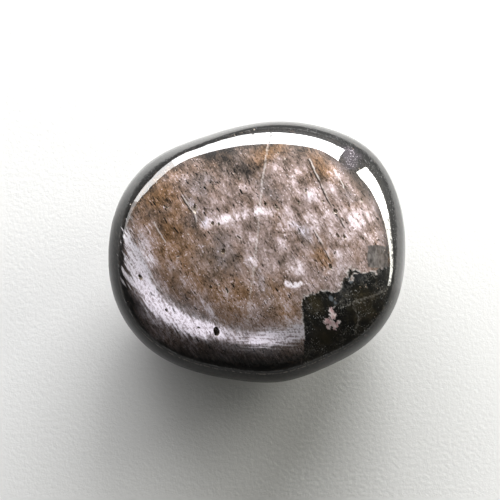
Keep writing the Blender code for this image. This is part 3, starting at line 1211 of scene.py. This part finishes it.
# %% Finish of the pits
PIT_STOPS = ((0.38, 60, 50, 42), (0.48, 150, 132, 112), (0.62, 210, 202, 194))
PIT_ROUGHNESS = 0.6
pit_tree = pit_finish.node_tree
pit_shader = pit_tree.nodes["Principled BSDF"]
pit_place = Wire.node(pit_tree, "ShaderNodeTexCoord", output="Object") * (1 / MM)
pit_inputs = {"Vector": pit_place, "Scale": 6.0, "Detail": 3.0}
pit_grain = Wire.node(pit_tree, "ShaderNodeTexNoise", inputs=pit_inputs)
pit_colour = colour_ramp(pit_tree, PIT_STOPS, pit_grain)
pit_tree.links.new(pit_colour.socket, pit_shader.inputs["Base Color"])
pit_shader.inputs["Roughness"].default_value = PIT_ROUGHNESS
print(len(pit_tree.nodes), "nodes in the pits' finish")

# %% [markdown]
# ## Paper
# The stone lies on a sheet of plain pale paper with a fine tooth. The tooth could be modelled, but
# at this distance only its shading shows, so a bump does. The sheet is darker well away from the
# stone, a painted shade which keeps its far parts from glaring.

# %% A sheet of plain paper
PAPER_SIDE = 0.9
PALE_PAPER = (0.745, 0.745, 0.738, 1.0)
FAR_PAPER = (0.56, 0.56, 0.55, 1.0)
TOOTH_HEIGHT = 0.00004
PAPER_ROUGHNESS = 0.9
PAPER_MIRROR = 0.2
half = PAPER_SIDE / 2
paper_corners = [(-half, -half, 0), (half, -half, 0), (half, half, 0), (-half, half, 0)]
floor_mesh = bpy.data.meshes.new("paper")
floor_mesh.from_pydata(paper_corners, [], [(0, 1, 2, 3)])
floor = link(bpy.data.objects.new("paper", floor_mesh))

paper = bpy.data.materials.new("plain_paper")
paper.use_nodes = True
paper_tree = paper.node_tree
paper_shader = paper_tree.nodes["Principled BSDF"]
paper_mm = Wire.node(paper_tree, "ShaderNodeTexCoord", output="Object") * (1 / MM)
# Painted shade: the paper darkens from 50 to 120 mm away.
far_off = paper_mm.length().rise(50.0, 120.0)
paper_colour = mix(paper_tree, far_off, PALE_PAPER, FAR_PAPER)
tooth_inputs = {"Vector": paper_mm, "Scale": 1.9, "Detail": 4.0, "Roughness": 0.7}
tooth = Wire.node(paper_tree, "ShaderNodeTexNoise", inputs=tooth_inputs)
bump_inputs = {"Strength": 1.0, "Distance": TOOTH_HEIGHT, "Height": tooth}
tooth_normal = Wire.node(paper_tree, "ShaderNodeBump", inputs=bump_inputs, output="Normal")
paper_tree.links.new(paper_colour.socket, paper_shader.inputs["Base Color"])
paper_tree.links.new(tooth_normal.socket, paper_shader.inputs["Normal"])
paper_shader.inputs["Roughness"].default_value = PAPER_ROUGHNESS
paper_shader.inputs["Specular IOR Level"].default_value = PAPER_MIRROR
floor_mesh.materials.append(paper)
print("paper, m:", PAPER_SIDE, "square, with a tooth of", TOOTH_HEIGHT)

# %% [markdown]
# ## Windows
# One long low window lies beyond the far side and a smaller one on the right, and their mirror
# images are the bright bands along the stone's shoulders. A picture of a room could light the stone,
# but its bands would be only as sharp as the picture. Upright area lights give bands with crisp
# edges, and each is placed by the angles that it fills as seen from the stone.

# %% Soft upright windows
WINDOW_DISTANCE = 0.45
FAR_WINDOW = {"facing_bearing": 106, "low": 13.8, "high": 32.6}
RIGHT_WINDOW = {"facing_bearing": 14, "low": 8.4, "high": 18.7}


def window(name, start, end, radiance, facing_bearing, low, high, colour=(1.0, 1.0, 1.0)):
    """An upright soft light that fills bearings start to end and heights low to high, in degrees."""
    bottom, top = (WINDOW_DISTANCE * math.tan(math.radians(angle)) for angle in (low, high))
    right, left = (
        WINDOW_DISTANCE * math.tan(math.radians(angle - facing_bearing)) for angle in (start, end)
    )
    light = bpy.data.lights.new(name, "AREA")
    light.shape = "RECTANGLE"
    light.size = left - right
    light.size_y = top - bottom
    light.energy = radiance * math.pi * light.size * light.size_y
    light.color = colour
    lamp = link(bpy.data.objects.new(name, light))
    bearing = math.radians(facing_bearing)
    outward = Vector((math.cos(bearing), math.sin(bearing), 0))
    up = Vector((0, 0, 1))
    leftward = up.cross(outward)
    turn = Matrix((leftward, up, outward)).transposed().to_4x4()
    centre = outward * WINDOW_DISTANCE + up * (bottom + top) / 2 + leftward * (left + right) / 2
    lamp.matrix_world = Matrix.Translation(centre) @ turn
    lamp.visible_camera = False
    return lamp


windows = [
    window("far_window_right", 54, 90, 34.0, **FAR_WINDOW),
    window("far_window_middle", 90, 122, 17.5, **FAR_WINDOW),
    window("far_window_left", 122, 150, 9.0, **FAR_WINDOW),
    window("far_window_curtain", 150, 174, 2.8, **FAR_WINDOW),
    window("right_window_low", -11, 20, 14.0, **RIGHT_WINDOW, colour=(1.0, 0.99, 0.91)),
    window("right_window_high", 20, 45, 38.0, **RIGHT_WINDOW, colour=(1.0, 0.99, 0.92)),
]
for lamp in windows:
    print(lamp.name, round(lamp.data.size, 3), "by", round(lamp.data.size_y, 3), "m")

# %% [markdown]
# ## Room
# The rest of the room is dim, apart from one soft pale patch of wall high on the near side, which
# shows as a faint sheen on the near shoulder. Walls could be built, but only their mirror images
# matter, so they are a colour that depends on the direction. Diffuse rays don't see it, because
# the paper and the stone's own colour get their light from the windows.

# %% Dim room with a pale wall
ROOM_COLOUR = (0.07, 0.07, 0.065, 1.0)
WALL_COLOUR = (1.55, 1.50, 1.60, 1.0)
WALL_BEARING = 250
WALL_BOTTOM = (30, 44)
WALL_TOP = (66, 52)
room = bpy.data.worlds.new("dim_room")
bpy.context.scene.world = room
room.use_nodes = True
room.cycles_visibility.diffuse = False
room_tree = room.node_tree
towards = Wire.node(room_tree, "ShaderNodeTexCoord", output="Generated")
ahead = towards.dot(facet_normal(WALL_BEARING, 90))
aside = towards.dot(facet_normal(WALL_BEARING - 90, 90))
climb = towards.xyz()[2].maths("ARCTAN2", ahead)
low_edge = climb.rise(*(math.radians(angle) for angle in WALL_BOTTOM))
high_edge = climb.rise(*(math.radians(angle) for angle in WALL_TOP))
ends = aside.rise(-0.65, -0.15) * aside.rise(1.0, 0.62)
room_light = mix(room_tree, low_edge * high_edge * ends, ROOM_COLOUR, WALL_COLOUR)
room_tree.links.new(room_light.socket, room_tree.nodes["Background"].inputs["Color"])
bpy.context.scene.view_settings.view_transform = "Standard"
print("pale wall from", WALL_BOTTOM[0], "to", WALL_TOP[0], "degrees up")

# %% [markdown]
# ## Finish
# The view layer is brought up to date once more.

# %% Finish
bpy.context.view_layer.update()
